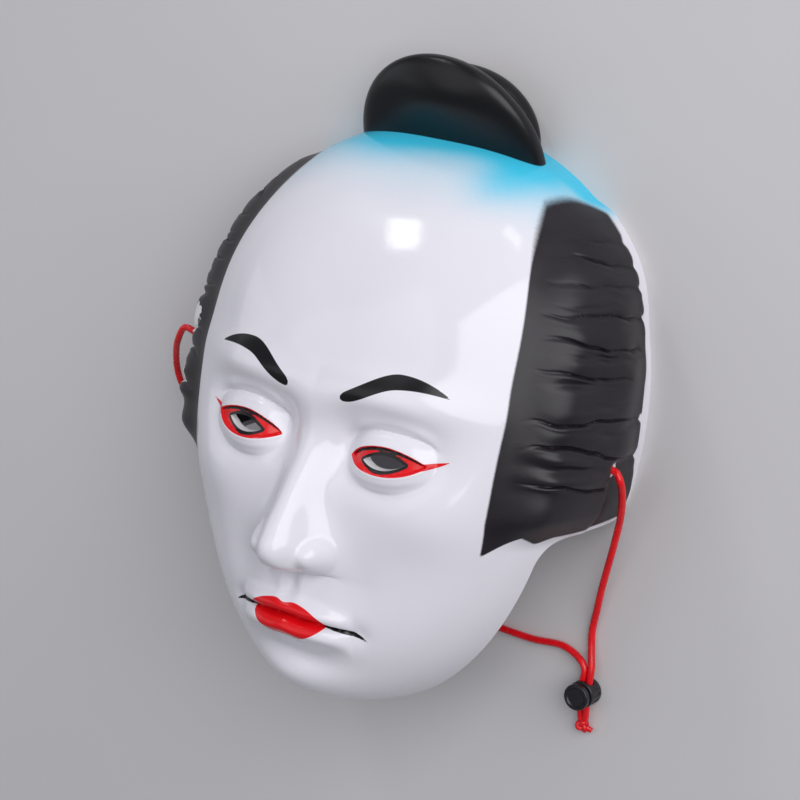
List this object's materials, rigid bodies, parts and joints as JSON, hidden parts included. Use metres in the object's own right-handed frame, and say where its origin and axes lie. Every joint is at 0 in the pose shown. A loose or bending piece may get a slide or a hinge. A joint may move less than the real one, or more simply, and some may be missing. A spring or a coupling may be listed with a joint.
{
  "type": "kabuki mask",
  "caption": "Full-face moulded plastic theatre mask with topknot, side hair panels, eye slits and an elastic head cord with a spring cord lock.",
  "frame": {"origin": "on the surface the mask lies on, under the middle of the mask's own length and width", "axes": "+Z out of the face, +Y towards the crown and topknot, +X towards the mask's own left, where the cord lock lies"},
  "size_m": [0.238, 0.2726, 0.1188],
  "materials": {
    "shell": "glossy white with sprayed light blue crown, satin black hair, gloss black topknot, red and black make-up",
    "cord": "smooth red elastic cord",
    "lock": "satin black"
  },
  "bodies": {
    "mask": {"mask_shell": "shell", "cord_strand_left": "cord", "cord_strand_right": "cord", "cord_knot_left": "cord", "cord_knot_right": "cord", "cord_tail": "cord", "cord_tail_knot": "cord", "cord_lock_barrel": "lock"},
    "plunger": {"cord_lock_plunger": "lock"}
  },
  "joints": [
    {"name": "plunger_press", "type": "slide", "parent": "mask", "child": "plunger", "axis": [0, 0, -1], "range_m": [0, 0.0015], "stiffness_N_per_m": 150, "springref_m": -0.008}
  ]
}
